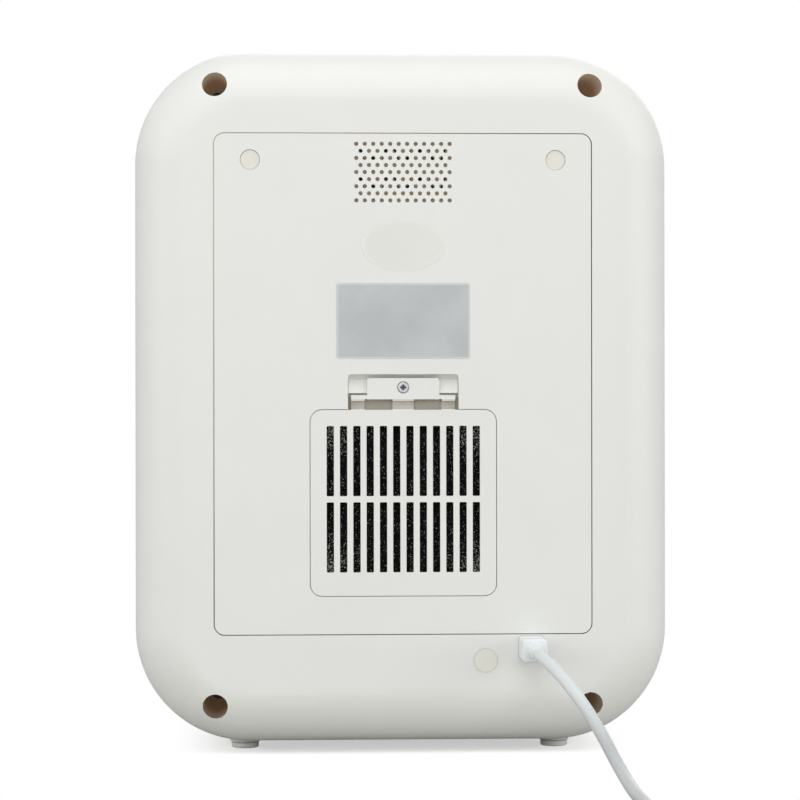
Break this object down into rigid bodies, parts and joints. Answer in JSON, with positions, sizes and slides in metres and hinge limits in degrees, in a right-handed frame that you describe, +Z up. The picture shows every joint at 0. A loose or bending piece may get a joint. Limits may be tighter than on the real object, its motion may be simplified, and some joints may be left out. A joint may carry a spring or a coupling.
{
  "type": "baby bottle sterilizer",
  "caption": "Cabinet sterilizer and dryer for baby bottles, with a hinged window door, steel chamber, racks, blower and a back panel with a latched vent cover.",
  "frame": {"origin": "on the floor under the middle of the cabinet, without the cord", "axes": "+Z up, the door faces -Y, the back with its vents and the cord faces +Y"},
  "size_m": [0.318, 0.683, 0.4188],
  "materials": {
    "shell_white": "satin",
    "panel_white": "satin",
    "fascia_dark": "gloss",
    "window_glass": "gloss",
    "lamp_lens": "gloss",
    "liner_steel": "brushed",
    "rack_steel": "polished",
    "screw_steel": "plain",
    "heater_metal": "plain",
    "seal_silicone": "matt",
    "foot_rubber": "matt",
    "cap_rubber": "matt",
    "duct_plastic": "matt",
    "inner_plastic": "matt",
    "board_green": "satin",
    "foam_black": "open foam",
    "plate_silver": "satin",
    "sticker_paper": "matt",
    "cord_grey": "matt",
    "pin_metal": "nickel plated"
  },
  "bodies": {
    "cabinet": {"rear_shell": "shell_white", "front_shell": "shell_white", "control_fascia": "shell_white", "rear_panel": "panel_white", "touch_panel": "fascia_dark", "roof_lamp_lens": "lamp_lens", "back_lamp_lens": "lamp_lens", "chamber_liner": "liner_steel", "catch_plate": "liner_steel", "lower_rack": "rack_steel", "upper_rack": "rack_steel", "shell_screws": "screw_steel", "panel_screws": "screw_steel", "hinge_pins": "screw_steel", "fan_motor": "screw_steel", "exhaust_plate": "screw_steel", "heater": "heater_metal", "rubber_feet": "foot_rubber", "panel_caps": "cap_rubber", "air_duct": "duct_plastic", "fan_cover": "duct_plastic", "exhaust_duct": "duct_plastic", "inlet_socket": "duct_plastic", "thermostat": "duct_plastic", "hinge_arms": "inner_plastic", "rack_rails": "inner_plastic", "drip_tray": "inner_plastic", "door_sensor": "inner_plastic", "control_board": "board_green", "power_board": "board_green", "roof_lamp_board": "board_green", "back_lamp_board": "board_green", "filter_foam": "foam_black", "rating_plate": "plate_silver", "oval_sticker": "sticker_paper", "round_sticker": "sticker_paper", "cord_connector": "cord_grey", "cord_relief": "cord_grey", "cord_lead": "cord_grey", "cord_coil": "cord_grey", "mains_relief": "cord_grey", "mains_plug": "cord_grey", "inlet_pins": "pin_metal", "mains_pins": "pin_metal"},
    "door": {"door_frame": "shell_white", "door_inner": "inner_plastic", "door_window": "window_glass", "door_gasket": "seal_silicone", "door_magnets": "screw_steel"},
    "vent_cover": {"vent_cover": "panel_white", "vent_cover_screw": "screw_steel"},
    "blower": {"fan_wheel": "duct_plastic", "fan_shaft": "screw_steel"}
  },
  "joints": [
    {"name": "door_swing", "type": "hinge", "parent": "cabinet", "child": "door", "pos_m": [-0.153, -0.1246, 0.24], "axis": [0, 0, -1], "range_deg": [0, 105]},
    {"name": "vent_cover_tilt", "type": "hinge", "parent": "cabinet", "child": "vent_cover", "pos_m": [0, 0.1497, 0.0956], "axis": [-1, 0, 0], "range_deg": [0, 35]},
    {"name": "blower_spin", "type": "hinge", "parent": "cabinet", "child": "blower", "pos_m": [0, 0.0976, 0.15], "axis": [0, 1, 0], "continuous": true}
  ]
}
